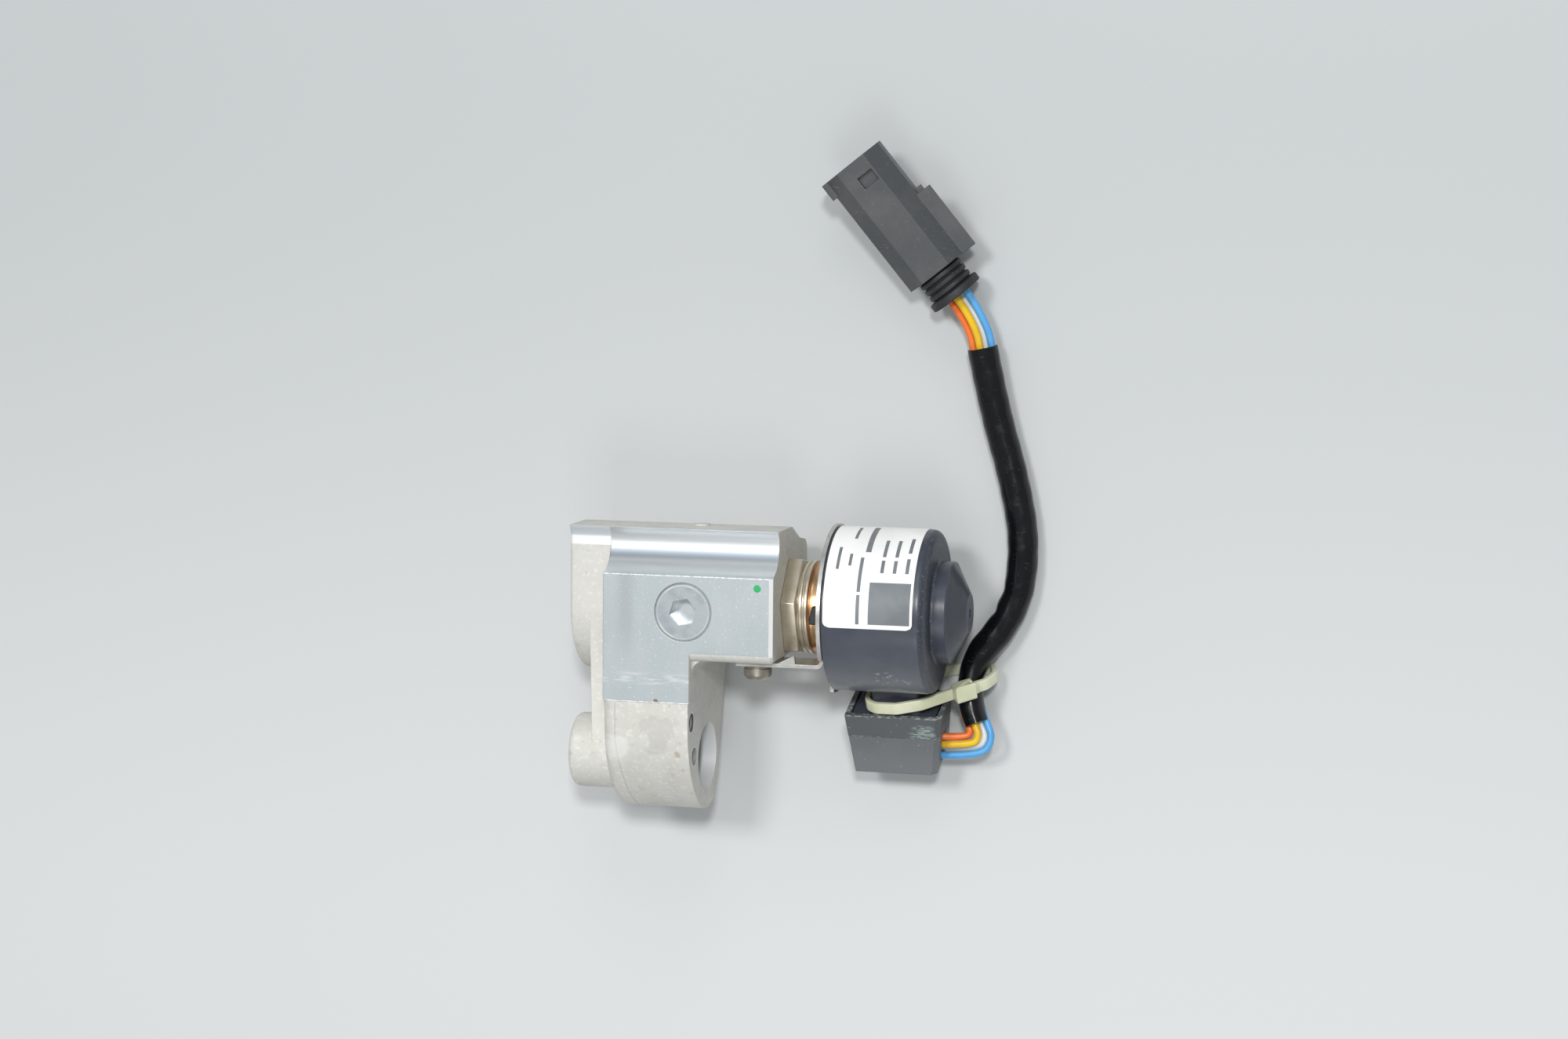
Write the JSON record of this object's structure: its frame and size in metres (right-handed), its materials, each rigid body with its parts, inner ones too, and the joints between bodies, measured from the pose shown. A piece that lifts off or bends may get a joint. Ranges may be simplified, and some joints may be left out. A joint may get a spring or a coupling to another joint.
{
  "type": "electronic expansion valve",
  "caption": "Motor-driven refrigerant expansion valve: L-shaped cast block with ports, round coil, terminal box, sleeved lead and plug.",
  "frame": {"origin": "centre of the lower port's mouth, on the right-hand face of the block's lobe", "axes": "+X along the valve's axis towards the coil, +Y up the machined front pad, +Z out of the pad; the valve lies on its back, on z = -18.9 mm"},
  "size_m": [0.0925, 0.1357, 0.0341],
  "materials": {
    "cast_aluminium": "matte cast, machined on the front pad",
    "machined_aluminium": "turned, satin",
    "nickel_plated_brass": "nickel plated, satin",
    "can_steel": "heat tinted",
    "bracket_steel": "stainless sheet, bright",
    "screw_steel": "zinc plated",
    "yoke_steel": "plated",
    "needle_steel": "ground",
    "spring_steel": "bright wire",
    "magnet_ferrite": "sintered, matte",
    "winding_copper": "enamelled wire",
    "pin_metal": "tin plated",
    "coil_plastic": "charcoal, satin moulding",
    "cover_plastic": "grey, satin",
    "potting_resin": "cast resin",
    "guide_plastic": "natural",
    "seat_plastic": "natural",
    "seal_rubber": "matte",
    "label_film": "white film, blank",
    "tie_nylon": "translucent cream",
    "sleeve_vinyl": "glossy black",
    "boot_rubber": "matte black",
    "plug_plastic": "matte black",
    "wire_orange": "insulation",
    "wire_yellow": "insulation",
    "wire_white": "insulation",
    "wire_blue": "insulation"
  },
  "bodies": {
    "valve": {"valve_block": "cast_aluminium", "service_plug": "machined_aluminium", "service_plug_seal": "seal_rubber", "valve_seat": "seat_plastic", "cartridge_body": "nickel_plated_brass", "cartridge_seal": "seal_rubber", "rotor_can": "can_steel", "guide_nut": "guide_plastic", "stator_yoke_left": "yoke_steel", "stator_yoke_right": "yoke_steel", "winding_left": "winding_copper", "winding_right": "winding_copper", "coil_housing": "coil_plastic", "terminal_cover": "cover_plastic", "terminal_pins": "pin_metal", "potting_block": "potting_resin", "coil_bracket": "bracket_steel", "bracket_screw": "screw_steel", "spring_washer": "screw_steel", "rating_label": "label_film", "lead_sleeve": "sleeve_vinyl", "plug_boot": "boot_rubber", "plug_housing": "plug_plastic", "plug_pins": "pin_metal", "wire_orange": "wire_orange", "wire_yellow": "wire_yellow", "wire_white": "wire_white", "wire_blue": "wire_blue", "cable_tie": "tie_nylon"},
    "needle": {"needle": "needle_steel"},
    "rotor": {"needle_holder": "needle_steel", "buffer_spring": "spring_steel", "lead_screw": "needle_steel", "rotor_hub": "guide_plastic", "rotor_magnet": "magnet_ferrite"}
  },
  "joints": [
    {"name": "needle_slide", "type": "slide", "parent": "valve", "child": "needle", "axis": [1, 0, 0], "range_m": [0, 0.0025]},
    {"name": "rotor_spin", "type": "hinge", "parent": "needle", "child": "rotor", "pos_m": [0, 0.0312, -0.0019], "axis": [1, 0, 0], "range_deg": [0, 1800]}
  ],
  "couplings": [
    {"joint": "rotor_spin", "follows": "needle_slide", "rad_per_m": 12566}
  ]
}
